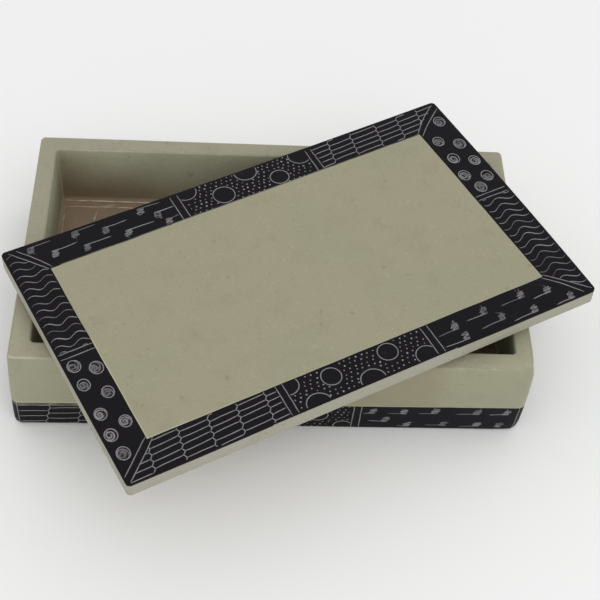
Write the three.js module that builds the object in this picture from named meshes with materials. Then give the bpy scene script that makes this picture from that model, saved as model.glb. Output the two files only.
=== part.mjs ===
// A carved soapstone jewelry box with a loose lid, as two pieces of stone.
// The box is one hollowed block. The lid is one slab with a locating tongue carved on its underside.
// The lid lies turned on the rim, as it does when the box stands open on a table.
// Millimetres, +Z up, +X along the box's length, origin at the centre of the box's foot.

import * as THREE from "three";

// The box
const BOX_LENGTH = 150;
const BOX_DEPTH = 89;
const BOX_HEIGHT = 32.5;
const LONG_WALL_THICKNESS = 5.6;
const END_WALL_THICKNESS = 5.4;
const CAVITY_DEPTH = 22.2;
const BOX_CORNER_RADIUS = 1.6;
const FOOT_CORNER_RADIUS = 2.8;
const CAVITY_CORNER_RADIUS = 1.1;
const RIM_EDGE_RADIUS = 0.8;
const FOOT_EDGE_RADIUS = 1.5;
const FLOOR_COVE_RADIUS = 0.8;
const WALL_SWELL = 0.3;
const BACK_WALL_SKEW = 1.2;
const LEFT_FOOT_REACH = 1.7;
const FRONT_RIGHT_REACH = 1.6;
const CAVITY_FRONT_SKEW = 0.7;

// The lid
const LID_LENGTH = 148.4;
const LID_DEPTH = 89.3;
const LID_THICKNESS = 5.3;
const LID_CORNER_RADIUS = 1.5;
const LID_EDGE_RADIUS = 0.3;
const LID_SIDE_BOW = 0.5;
const LID_LEFT_SKEW = 1.0;
const LID_RIGHT_SKEW = 0.3;
const LID_BACK_SKEW = 0.6;
const TONGUE_DEPTH = 2.7;
const TONGUE_CORNER_RADIUS = 1.5;
const TONGUE_CLEARANCE = 0.6;

// How the lid lies on the rim
const LID_TURN_DEGREES = 27.7;
const LID_SHIFT_RIGHT = 7.6;
const LID_SHIFT_FORWARD = 17.1;
const RESTING_GAP = 0.3;

// How finely the curves are cut
const CORNER_STEPS = 6;
const SIDE_STEPS = 6;
const EDGE_STEPS = 3;
const SWELL_STEPS = 4;
const SHARPEST_CORNER = 0.2;

const CAVITY_LENGTH = BOX_LENGTH - 2 * END_WALL_THICKNESS;
const CAVITY_WIDTH = BOX_DEPTH - 2 * LONG_WALL_THICKNESS;
const CAVITY_FLOOR = BOX_HEIGHT - CAVITY_DEPTH;
const TONGUE_LENGTH = CAVITY_LENGTH - 2 * TONGUE_CLEARANCE;
const TONGUE_WIDTH = CAVITY_WIDTH - 2 * TONGUE_CLEARANCE;

const boxStone = new THREE.MeshStandardMaterial({
  color: 0x959379,
  roughness: 0.62,
  metalness: 0,
});
const lidStone = new THREE.MeshStandardMaterial({
  color: 0x9b957e,
  roughness: 0.55,
  metalness: 0,
});

// A rectangle with round corners, as points that run anticlockwise.
// Each side bows out by its own amount in the middle.
function roundedRectangle(length, depth, radius, bow = {}) {
  const r = Math.max(radius, SHARPEST_CORNER);
  const x = length / 2 - r;
  const y = depth / 2 - r;
  const corners = [
    { centre: [x, -y], from: -90, side: "right" },
    { centre: [x, y], from: 0, side: "back" },
    { centre: [-x, y], from: 90, side: "left" },
    { centre: [-x, -y], from: 180, side: "front" },
  ];
  const points = [];
  corners.forEach(({ centre, from, side }, corner) => {
    for (let step = 0; step <= CORNER_STEPS; step += 1) {
      const angle = THREE.MathUtils.degToRad(from + (90 * step) / CORNER_STEPS);
      const spoke = new THREE.Vector2(Math.cos(angle), Math.sin(angle));
      points.push(spoke.multiplyScalar(r).add(new THREE.Vector2(...centre)));
    }
    const outward = THREE.MathUtils.degToRad(from + 90);
    const start = points[points.length - 1];
    const next = corners[(corner + 1) % corners.length];
    const end = new THREE.Vector2(Math.cos(outward), Math.sin(outward))
      .multiplyScalar(r)
      .add(new THREE.Vector2(...next.centre));
    for (let step = 1; step < SIDE_STEPS; step += 1) {
      const along = step / SIDE_STEPS;
      const reach = 4 * along * (1 - along) * (bow[side] ?? 0);
      const push = new THREE.Vector2(Math.cos(outward), Math.sin(outward)).multiplyScalar(reach);
      points.push(start.clone().lerp(end, along).add(push));
    }
  });
  return points;
}

// The same points out of square as the box is, with its back wall nearer the front at the right end.
function outOfSquare(points) {
  return points.map(({ x, y }) => {
    const towardsBack = y / BOX_DEPTH + 0.5;
    return new THREE.Vector2(x, y - BACK_WALL_SKEW * (x / (BOX_LENGTH / 2)) * towardsBack);
  });
}

// A closed solid whose skin joins level rings of points from its first ring to its last.
function loft(rings) {
  const count = rings[0].outline.length;
  const positions = rings.flatMap(({ outline, z }) => outline.flatMap((p) => [p.x, p.y, z]));
  const faces = [];
  for (let level = 0; level + 1 < rings.length; level += 1) {
    for (let i = 0; i < count; i += 1) {
      const a = level * count + i;
      const b = level * count + ((i + 1) % count);
      faces.push(a, b, b + count, a, b + count, a + count);
    }
  }
  const last = (rings.length - 1) * count;
  for (const [a, b, c] of THREE.ShapeUtils.triangulateShape(rings[0].outline, [])) {
    faces.push(a, c, b);
  }
  for (const [a, b, c] of THREE.ShapeUtils.triangulateShape(rings.at(-1).outline, [])) {
    faces.push(last + a, last + b, last + c);
  }
  const geometry = new THREE.BufferGeometry();
  geometry.setAttribute("position", new THREE.Float32BufferAttribute(positions, 3));
  geometry.setIndex(faces);
  geometry.computeVertexNormals();
  return geometry;
}

// The steps of a quarter circle, as the share of its radius gone sideways and the share gone up.
function quarterRound(steps, startsLevel) {
  return Array.from({ length: steps + 1 }, (_, step) => {
    const angle = (Math.PI / 2) * (step / steps);
    return startsLevel
      ? { across: Math.sin(angle), up: 1 - Math.cos(angle) }
      : { across: 1 - Math.cos(angle), up: Math.sin(angle) };
  });
}

// A ring of the box's outer face, set in from its full length and depth.
// Towards the foot its corners get rounder and its left end reaches further out.
// Towards the rim its front reaches further out at the right end.
function outerRing(inset, z) {
  const downwards = 1 - z / BOX_HEIGHT;
  const radius = THREE.MathUtils.lerp(BOX_CORNER_RADIUS, FOOT_CORNER_RADIUS, downwards);
  const outline = roundedRectangle(BOX_LENGTH - 2 * inset, BOX_DEPTH - 2 * inset, radius - inset);
  const reaching = outline.map(({ x, y }) => {
    const towardsRight = 0.5 + x / BOX_LENGTH;
    const towardsFront = 0.5 - y / BOX_DEPTH;
    const left = LEFT_FOOT_REACH * downwards * (1 - towardsRight);
    const forward = FRONT_RIGHT_REACH * (1 - downwards) * towardsRight * towardsFront;
    return new THREE.Vector2(x - left, y - forward);
  });
  return { outline: outOfSquare(reaching), z };
}

// Points of the cavity or of the tongue that fits it, with the front side nearer the front at its right end.
function cavitySkewed(points) {
  const skewed = points.map(({ x, y }) => {
    const towardsFront = 0.5 - y / CAVITY_WIDTH;
    return new THREE.Vector2(x, y - CAVITY_FRONT_SKEW * (x / (CAVITY_LENGTH / 2)) * towardsFront);
  });
  return outOfSquare(skewed);
}

// A ring of the cavity's face, set in from its full length and width.
function cavityRing(inset, z) {
  const outline = roundedRectangle(
    CAVITY_LENGTH - 2 * inset,
    CAVITY_WIDTH - 2 * inset,
    CAVITY_CORNER_RADIUS - inset,
  );
  return { outline: cavitySkewed(outline), z };
}

// The hollowed block: up its swelling outer face, over the rim and down to the cavity's floor.
function boxBody() {
  const rings = [];
  for (const { across, up } of quarterRound(EDGE_STEPS, true)) {
    rings.push(outerRing(FOOT_EDGE_RADIUS * (1 - across), FOOT_EDGE_RADIUS * up));
  }
  const wallBottom = FOOT_EDGE_RADIUS;
  const wallTop = BOX_HEIGHT - RIM_EDGE_RADIUS;
  for (let step = 1; step < SWELL_STEPS; step += 1) {
    const share = step / SWELL_STEPS;
    const swell = WALL_SWELL * Math.sin(Math.PI * share);
    rings.push(outerRing(-swell, THREE.MathUtils.lerp(wallBottom, wallTop, share)));
  }
  for (const { across, up } of quarterRound(EDGE_STEPS, false)) {
    rings.push(outerRing(RIM_EDGE_RADIUS * across, wallTop + RIM_EDGE_RADIUS * up));
  }
  for (const { across, up } of quarterRound(EDGE_STEPS, true)) {
    rings.push(cavityRing(-RIM_EDGE_RADIUS * (1 - across), BOX_HEIGHT - RIM_EDGE_RADIUS * up));
  }
  for (const { across, up } of quarterRound(EDGE_STEPS, false)) {
    rings.push(cavityRing(FLOOR_COVE_RADIUS * across, CAVITY_FLOOR + FLOOR_COVE_RADIUS * (1 - up)));
  }
  const body = new THREE.Mesh(loft(rings), boxStone);
  body.name = "box_body";
  return body;
}

// A ring of the lid's slab, whose right side was rubbed down fuller than its others.
// Its back corners are out of square, both of them to the left and the right one further back.
function slabRing(inset, z) {
  const outline = roundedRectangle(
    LID_LENGTH - 2 * inset,
    LID_DEPTH - 2 * inset,
    LID_CORNER_RADIUS - inset,
    { right: LID_SIDE_BOW, back: -LID_SIDE_BOW },
  );
  const skewed = outline.map(({ x, y }) => {
    const towardsRight = 0.5 + x / LID_LENGTH;
    const towardsBack = 0.5 + y / LID_DEPTH;
    const left = THREE.MathUtils.lerp(LID_LEFT_SKEW, LID_RIGHT_SKEW, towardsRight) * towardsBack;
    return new THREE.Vector2(x - left, y + LID_BACK_SKEW * towardsRight * towardsBack);
  });
  return { outline: skewed, z };
}

// A ring of the tongue, which is fitted to the cavity and drops into it when the lid is closed.
function tongueRing(z) {
  const outline = roundedRectangle(TONGUE_LENGTH, TONGUE_WIDTH, TONGUE_CORNER_RADIUS);
  return { outline: cavitySkewed(outline), z };
}

// The lid, with the underside of its tongue at zero height.
function lid() {
  const slabTop = TONGUE_DEPTH + LID_THICKNESS;
  const rings = [tongueRing(0), tongueRing(TONGUE_DEPTH)];
  for (const { across, up } of quarterRound(EDGE_STEPS, true)) {
    rings.push(slabRing(LID_EDGE_RADIUS * (1 - across), TONGUE_DEPTH + LID_EDGE_RADIUS * up));
  }
  for (const { across, up } of quarterRound(EDGE_STEPS, false)) {
    rings.push(slabRing(LID_EDGE_RADIUS * across, slabTop - LID_EDGE_RADIUS * (1 - up)));
  }
  const slab = new THREE.Mesh(loft(rings), lidStone);
  slab.name = "lid";
  return slab;
}

const restingLid = new THREE.Group();
restingLid.position.set(LID_SHIFT_RIGHT, -LID_SHIFT_FORWARD, BOX_HEIGHT + RESTING_GAP);
restingLid.rotation.z = THREE.MathUtils.degToRad(LID_TURN_DEGREES);
restingLid.add(lid());

const jewelryBox = new THREE.Group();
jewelryBox.add(boxBody(), restingLid);

export default jewelryBox;
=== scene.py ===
"""A carved soapstone jewelry box, its lid lying askew on the rim.

The lid's border and the band round the box's foot are dyed black, and mudcloth motifs are
scratched through the dye. Every scratched line is a groove cut into the stone's own mesh.
"""

import math
import random
from collections import defaultdict

import bmesh
import bpy
import numpy as np
from bpy.props import FloatProperty, FloatVectorProperty, PointerProperty
from mathutils import Matrix, Vector, noise
from mathutils.geometry import delaunay_2d_cdt


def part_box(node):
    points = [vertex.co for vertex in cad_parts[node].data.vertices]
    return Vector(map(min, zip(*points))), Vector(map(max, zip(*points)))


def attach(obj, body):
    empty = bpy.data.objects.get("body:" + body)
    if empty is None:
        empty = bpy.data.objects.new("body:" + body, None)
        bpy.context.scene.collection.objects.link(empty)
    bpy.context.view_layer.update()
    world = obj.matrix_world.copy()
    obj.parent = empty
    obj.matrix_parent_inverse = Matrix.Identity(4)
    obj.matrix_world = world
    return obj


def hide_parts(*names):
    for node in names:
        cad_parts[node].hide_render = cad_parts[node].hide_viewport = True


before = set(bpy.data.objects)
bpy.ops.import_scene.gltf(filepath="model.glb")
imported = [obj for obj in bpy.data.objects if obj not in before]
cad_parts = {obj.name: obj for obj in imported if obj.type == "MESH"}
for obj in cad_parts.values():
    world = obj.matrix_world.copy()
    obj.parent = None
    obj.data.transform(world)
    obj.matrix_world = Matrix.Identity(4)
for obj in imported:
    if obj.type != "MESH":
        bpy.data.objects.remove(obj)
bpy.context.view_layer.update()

bl_info = {
    "name": "Mudcloth Jewelry Box",
    "version": (1, 0, 0),
    "blender": (4, 5, 0),
    "location": "View3D > Sidebar > Jewelry Box",
    "description": "Carves a soapstone jewelry box with a dyed and scratched border",
    "category": "Object",
}

MM = 0.001

# The finishes of the stone
# The worn finish is real wear at the lid panel's edge and a pale line atop the dye band, and painted
# highlight on the rim's front edge.
TOP, WALL, RIM, WORN_AND_HIGHLIT, FILED, INNER, CHISELLED, SCORED, SCORED_FAINT = range(9)
DYED, THINNED, SCRATCHED, FAINT, SMUDGED = range(9, 14)

# How finely the stone is cut
CORNER_STEPS = 8
LONG_SIDE_STEPS = 50
SHORT_SIDE_STEPS = 30
EDGE_STEPS = 4
FACE_PITCH = 3.0
SHARP_CORNER = 0.2
WORN_CORNER_HEIGHT = 5.0
WORN_CORNER_REACH = 8.0
SMOOTH_ANGLE = math.radians(34)
WALL_STEPS = 10
CAVITY_STEPS = 7

# Widths at the edges of the dye, in millimetres
WORN_LINE = 0.45
THINNEST_STRIP = 0.25
PANEL_EDGE = 0.3
PANEL_STRIP = 0.35
PANEL_STRIP_REACH = 61.4

# How the dye runs down over the lid's front edge towards its corners, in millimetres
DRIP_LEAST = 0.04
DRIP_DEPTH = 0.4
DRIP_MIDDLE = -5.0
DRIP_START = 28.0
DRIP_RUN = 18.0

# How far a tick's head sits back over its tail, in millimetres
HEAD_SHIFT = 0.8

# How far bricks lean for each millimetre up, and how far they rise along and bulge at their ends
BRICK_LEAN = 0.2
BRICK_RISE = 0.36
BRICK_BULGE = 0.62

# Bump distances, in metres
FINE = 0.0001
COARSE = 0.0002

# The border's motifs, in millimetres from the middle of the lid. They were read off the
# photograph laid flat, then moved by a program to the lid's final fit and rounded, and some were
# corrected one by one since.
# A mitre is the pair of lines that closes each corner.
PANEL = [(-63.6, -33.5), (62.7, -33.5), (61.65, 33.8), (-64.1, 32.7)]
MITRES = {
    "back left": [
        [(-73.1, 43.4), (-69.6, 39.1), (-64.6, 32.9)],
        [(-70.8, 43.5), (-66.9, 38.6), (-63.4, 33.3)],
    ],
    "back right": [
        [(72.6, 44.2), (66.7, 39.7), (61.5, 34.5)],
        [(73.2, 41.8), (67.3, 37.3), (62.2, 32.8)],
    ],
    "front right": [
        [(70.6, -44.1), (66.5, -38.4), (62.2, -33.8)],
        [(73.3, -43.5), (68.3, -38.2), (62.9, -32.7)],
    ],
    "front left": [
        [(-73.6, -41.9), (-68.6, -37.2), (-63.8, -32.8)],
        [(-73.1, -44.1), (-67.6, -39.1), (-62.1, -33.8)],
    ],
}
BACK_DIVIDERS = [-21.5, -19.2, 24.8, 26.9]
FRONT_DIVIDERS = [-25.9, -23.9, 20.2, 22.5]
LEFT_DIVIDERS = [2.2, 0.3]
RIGHT_DIVIDERS = [2.4, 0.7]
# A ring is its middle and its radius.
BACK_RINGS = [(-16.4, 43.4, 3.3), (-6.2, 37.3, 3.3), (3.9, 43.2, 3.4), (12.6, 36.7, 2.8), (22.5, 42.4, 3.5)]
FRONT_RINGS = [
    (-22.7, -34.8, 3.2),
    (-17.6, -43.9, 3.4),
    (-10.4, -37.4, 2.9),
    (-0.4, -43.5, 3.5),
    (7.8, -37.0, 2.9),
    (17.2, -42.9, 3.2),
]
LEFT_SPIRALS = [
    (-71.6, -3.0),
    (-66.3, -6.1),
    (-71.6, -10.0),
    (-66.7, -15.0),
    (-71.3, -20.9),
    (-66.3, -25.8),
    (-71.5, -28.2),
    (-70.9, -34.9),
]
RIGHT_SPIRALS = [
    (70.6, 36.2),
    (65.4, 28.5),
    (71.0, 24.7),
    (65.7, 19.9),
    (71.2, 16.3),
    (64.7, 12.0),
    (71.1, 8.9),
    (66.6, 5.5),
]
# A tick is the end of its tail that carries the scribbled head, and the tail's length.
BACK_TICKS = [
    (-67.3, 42.9, 7.3),
    (-61.3, 38.8, 8.0),
    (-53.4, 43.2, 7.5),
    (-52.1, 36.8, 8.8),
    (-44.7, 40.8, 8.0),
    (-38.9, 36.8, 9.4),
    (-32.4, 43.3, 7.5),
    (-28.3, 39.8, 6.4),
    (-26.1, 35.9, 4.4),
]
FRONT_TICKS = [
    (30.0, -39.0, 6.8),
    (40.5, -37.8, 7.0),
    (53.5, -37.5, 8.2),
    (61.5, -39.3, 6.2),
    (31.0, -43.3, 8.0),
    (44.1, -41.8, 8.3),
    (54.2, -43.6, 8.5),
    (66.6, -44.1, 8.4),
]
BRICK_COLUMNS_FRONT = [-65.5, -56.7, -47.9, -39.5, -30.8]
BRICK_COLUMNS_BACK = [32.8, 40.9, 50.1, 58.1, 65.7]
BRICK_ROW_FRONT = -44.4
BRICK_ROW_BACK = 33.3

# The foot band's motifs, in millimetres from the middle of a wall and up the stone's face from the foot.
BAND_DIVIDERS = [-27.0, -25.0, 24.2, 26.6]
BAND_RINGS = [
    (-21, 11.4, 3.2),
    (-15.5, 3.4, 3.2),
    (-6.5, 8.6, 2.9),
    (3.2, 3.2, 3.3),
    (13.8, 8.5, 2.9),
    (21.6, 2.6, 2.7),
]
BAND_BRICK_COLUMNS = [-65.9, -56.7, -47.5, -38.4, -31.0]
BAND_TICKS = [
    (30.5, 9.8, 4.0),
    (39.9, 9.7, 5.5),
    (49.1, 10.2, 5.5),
    (61.6, 10.1, 6.9),
    (70.3, 10.2, 5.8),
    (34.7, 5.4, 5.7),
    (41.5, 2.9, 3.8),
    (52.5, 3.5, 6.3),
    (62.6, 3.3, 6.0),
    (69.2, 3.2, 2.0),
]
BAND_SPIRALS = [
    (-6.5, 9.2),
    (-12.4, 4.8),
    (-17.6, 9.5),
    (-23.2, 5.2),
    (-28.4, 9.3),
    (-33.6, 4.9),
    (-38.8, 8.8),
]


def size(name, description, default):
    """A length that a user can change, in metres."""
    return FloatProperty(
        name=name,
        description=description,
        default=default,
        unit="LENGTH",
        subtype="DISTANCE",
        precision=5,
    )


def colour(name, description, red, green, blue):
    """A colour that a user can change, given as it looks on a screen, from 0 to 255."""

    def linear(value):
        value /= 255
        return value / 12.92 if value <= 0.04045 else ((value + 0.055) / 1.055) ** 2.4

    return FloatVectorProperty(
        name=name,
        description=description,
        default=(linear(red), linear(green), linear(blue)),
        min=0,
        max=1,
        size=3,
        subtype="COLOR",
    )


def share(name, description, default):
    """A plain number from 0 to 1 that a user can change."""
    return FloatProperty(
        name=name, description=description, default=default, min=0, max=1, subtype="FACTOR"
    )


class BoxSizes(bpy.types.PropertyGroup):
    """Sizes of the hollowed block"""

    length: size("Length", "Length of the box at its rim", 0.150)
    depth: size("Depth", "Depth of the box at its rim, front to back", 0.089)
    height: size("Height", "Height of the box without its lid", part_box("box_body")[1].z)
    wall: size("Long wall", "Thickness of the front and back walls at the rim", 0.0056)
    end_wall: size("End wall", "Thickness of the two end walls at the rim", 0.0054)
    cavity_depth: size("Cavity depth", "Depth of the cavity below the rim", 0.0222)
    corner_radius: size("Corner radius", "Radius of the box's upright corners", 0.0016)
    cavity_corner_radius: size("Cavity corner radius", "Radius of the cavity's upright corners", 0.0011)
    rim_radius: size("Rim edge radius", "Radius that the rim's edges are rubbed down to", 0.0008)
    foot_radius: size("Foot edge radius", "Radius of the edge round the foot", 0.0015)
    cove_radius: size("Cove radius", "Radius of the cove at the cavity's floor", 0.0008)
    swell: size("Wall swell", "How far the walls stand out at their fullest", 0.0003)
    skew: size("Back wall skew", "How far the back wall is out of square at each end", 0.0012)
    foot_corner: size("Foot corner radius", "Radius of the box's upright corners at the foot", 0.0028)
    left_reach: size("Left foot reach", "How much further left the box reaches at its foot", 0.0017)
    front_right_reach: size(
        "Front right reach", "How much fuller the front is at the rim's right end", 0.0016
    )
    corner_wear: size("Corner wear", "How far the front right corner is worn at rim and foot", 0.0012)
    right_skew: size("Right side skew", "How far in the right side stands at the rim's back end", 0.0008)
    cavity_skew: size("Cavity front skew", "How far the cavity's front is out of square at each end", 0.0007)
    cavity_left_skew: size(
        "Cavity left skew", "How far in the cavity's left side stands at its front end", 0.0008
    )
    band_top_left: size("Band top, left", "Height of the dyed band at the front wall's left end", 0.0116)
    band_top_right: size("Band top, right", "Height of the dyed band at the front wall's right end", 0.0132)
    band_thinned: size(
        "Thinned dye", "How far down the dye is rubbed thin at the front wall's left end", 0.0015
    )


class LidSizes(bpy.types.PropertyGroup):
    """Sizes of the lid and how it lies"""

    length: size("Length", "Length of the lid", 0.1484)
    depth: size("Depth", "Depth of the lid, front to back", 0.0893)
    slab: size("Slab thickness", "Thickness of the lid's slab", 0.0053)
    corner_radius: size("Corner radius", "Radius of the slab's upright corners", 0.0015)
    edge_radius: size("Edge radius", "Radius of the slab's edges", 0.0003)
    side_bow: size("Side bow", "How far the right side bows out and the back side in", 0.0005)
    left_skew: size("Left skew", "How far the back left corner stands to the left", 0.0010)
    right_skew: size("Right skew", "How far the back right corner stands to the left", 0.0003)
    back_skew: size("Back skew", "How far the back right corner stands to the back", 0.0006)
    tongue_depth: size("Tongue depth", "Depth of the tongue under the slab", 0.0027)
    tongue_radius: size("Tongue corner radius", "Radius of the tongue's upright corners", 0.0015)
    clearance: size("Clearance", "Gap between the tongue and the cavity when closed", 0.0006)
    gap: size("Resting gap", "Gap between the tongue and the rim as the lid lies", 0.0003)
    shift_right: size("Shift right", "How far right of the box's middle the lid lies", 0.0076)
    shift_forward: size("Shift forward", "How far in front of the box's middle the lid lies", 0.0171)
    turn: FloatProperty(
        name="Turn",
        description="How far the lid is turned on the box",
        default=math.radians(27.7),
        unit="ROTATION",
        subtype="ANGLE",
    )


class CarvingSizes(bpy.types.PropertyGroup):
    """Sizes of the scratched lines"""

    line: size("Line width", "Width of a scratched line", 0.00028)
    line_depth: size("Line depth", "Depth of a scratched line", 0.00015)
    thin_line: size("Thin line width", "Width of the lines of a scribble", 0.00026)
    dot: size("Dot width", "Width of a pecked dot", 0.00054)
    dot_pitch: size("Dot pitch", "Distance between pecked dots in a row", 0.00178)
    spiral: size("Spiral radius", "Radius of a spiral", 0.0020)
    wave_height: size("Wave height", "Height of a wavy line from its middle", 0.00092)
    wave_pitch: size("Wave pitch", "Distance between wavy lines", 0.00284)
    brick_pitch: size("Brick pitch", "Distance between the long lines of the brick motif", 0.00209)
    band_brick_pitch: size("Band brick pitch", "The same distance on the foot band", 0.0028)
    unevenness: size("Unevenness", "How far rubbing has left the faces uneven", 0.00007)


class StoneLooks(bpy.types.PropertyGroup):
    """Colours and finish of the stone"""

    top: colour("Lid top", "Rubbed soapstone on the lid", 158, 152, 128)
    wall: colour("Wall", "Rubbed soapstone on the box's walls", 156, 155, 131)
    wall_brown: colour("Brown wall", "A browner patch across the middle and right of the front wall", 147, 137, 114)
    rim: colour("Rim", "Sandier stone on the box's rim", 158, 153, 134)
    # Painted light: a paler colour for the rim's front corners, standing for light that falls on them past
    # the lid.
    rim_painted_light: colour("Painted light on rim", "Painted light that makes the rim's front corners paler", 172, 168, 145)
    worn: colour("Worn and highlit edge", "Pale stone where an edge is worn, and painted highlight on the rim's front edge", 184, 181, 157)
    # Painted highlight on the rim's front edge; the same colour makes the pale line atop the dye band.
    filed: colour("Filed side", "Paler stone on the lid's sides", 164, 162, 148)
    green: colour("Green stone", "Greener patches in the soapstone", 150, 152, 124)
    dark: colour("Dark grain", "Dark grains in the soapstone", 112, 108, 92)
    # Painted light and shade on the cavity's walls: the pale top colour stands for light falling on their
    # upper part, the brown foot colour for the shade under the lid.
    inner: colour("Inner wall", "Stone at the top of the cavity's walls, painted paler where light falls", 184, 184, 160)
    inner_shaded: colour("Painted shade at foot of inner wall", "Painted shade, browner and darker, at the foot of the cavity's walls", 130, 113, 90)
    chiselled: colour("Cavity floor", "Unrubbed stone on the cavity's floor", 147, 128, 108)
    # Partly painted highlight: this pale colour also stands for the light caught by the cove's edge along the
    # walls' foot.
    score_highlight: colour("Scored line", "Fresh stone in a chisel line, and painted highlight on the lines along the walls' foot", 214, 202, 178)
    dye: colour("Dye", "Black dye on the stone", 21, 19, 23)
    dye_worn: colour("Worn dye", "Dye that rubbing has thinned", 42, 38, 40)
    thinned: colour("Thinned dye", "Dye rubbed thin enough for the stone to show", 112, 108, 97)
    thinned_dark: colour("Thinned dye, dark", "Where the thinned dye is a little stronger", 84, 81, 74)
    scratch: colour("Scratch", "Powdered stone in a scratched line", 150, 148, 149)
    faint: colour("Faint scratch", "A scratch that barely cuts the dye", 124, 122, 123)
    smudge: colour("Smudge", "Powder smeared over the dye beside a scribble", 104, 102, 104)
    roughness: share("Stone roughness", "Roughness of the rubbed stone", 0.56)
    dye_roughness: share("Dye roughness", "Roughness of the dyed stone", 0.5)


class StageLooks(bpy.types.PropertyGroup):
    """Floor, light and camera"""

    floor: colour("Floor", "Colour of the floor", 250, 250, 250)
    sky: FloatProperty(name="Sky strength", description="Strength of the even light", default=0.81, min=0)
    lamp: FloatProperty(
        name="Lamp power", description="Power of the soft lamp", default=3.9, min=0, unit="POWER"
    )
    lens: FloatProperty(
        name="Lens", description="Focal length of the camera", default=81.71, min=1, unit="CAMERA"
    )


# Drawing lines by hand. Lines are lists of points in millimetres.


def resampled(points, step):
    """The same line with points about one step apart."""
    fine = []
    for (x0, y0), (x1, y1) in zip(points, points[1:]):
        count = max(1, round(math.hypot(x1 - x0, y1 - y0) / step))
        fine += [(x0 + (x1 - x0) * i / count, y0 + (y1 - y0) * i / count) for i in range(count)]
    return fine + [points[-1]]


def between_knots(before, start, end, after, t):
    """The smooth curve from start to end, bent by the knots before and after them."""
    squared = 2 * before - 5 * start + 4 * end - after
    cubed = 3 * start - before - 3 * end + after
    return 0.5 * (2 * start + (end - before) * t + squared * t**2 + cubed * t**3)


def curved(points, step):
    """A smooth line through a few points."""
    first = (2 * points[0][0] - points[1][0], 2 * points[0][1] - points[1][1])
    last = (2 * points[-1][0] - points[-2][0], 2 * points[-1][1] - points[-2][1])
    knots = [first, *points, last]
    fine = []
    for a, b, c, d in zip(knots, knots[1:], knots[2:], knots[3:]):
        count = max(2, round(math.hypot(c[0] - b[0], c[1] - b[1]) / step))
        for i in range(count):
            fine.append(tuple(between_knots(*knot, i / count) for knot in zip(a, b, c, d)))
    return fine + [points[-1]]


def unsteady(points, rng, reach=0.07, length=2.2):
    """The same line as a hand draws it, wandering a little to each side."""
    start = rng.uniform(0, 500)
    wander = []
    for x, y in points:
        place = Vector((x / length + start, y / length, start))
        wander.append((x + reach * noise.noise(place), y + reach * noise.noise(place + Vector((17, 5, 0)))))
    return wander


def runs_inside(points, outline):
    """The stretches of a line that lie inside a convex outline, which runs anticlockwise."""

    def inside(x, y):
        ends = zip(outline, outline[1:] + outline[:1])
        return all((x1 - x0) * (y - y0) - (y1 - y0) * (x - x0) >= 0 for (x0, y0), (x1, y1) in ends)

    runs, run = [], []
    for point in points:
        if inside(*point):
            run.append(point)
        else:
            runs.append(run)
            run = []
    runs.append(run)
    return [run for run in runs if len(run) > 2]


def inside_outline(places, outline):
    """Which places lie inside an outline of any shape."""
    inside = np.zeros(len(places), bool)
    x, y = places[:, 0], places[:, 1]
    for (x0, y0), (x1, y1) in zip(outline, outline[1:] + outline[:1]):
        if y0 != y1:
            crossed = (y0 > y) != (y1 > y)
            inside ^= crossed & (x < x0 + (x1 - x0) * (y - y0) / (y1 - y0))
    return inside


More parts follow.
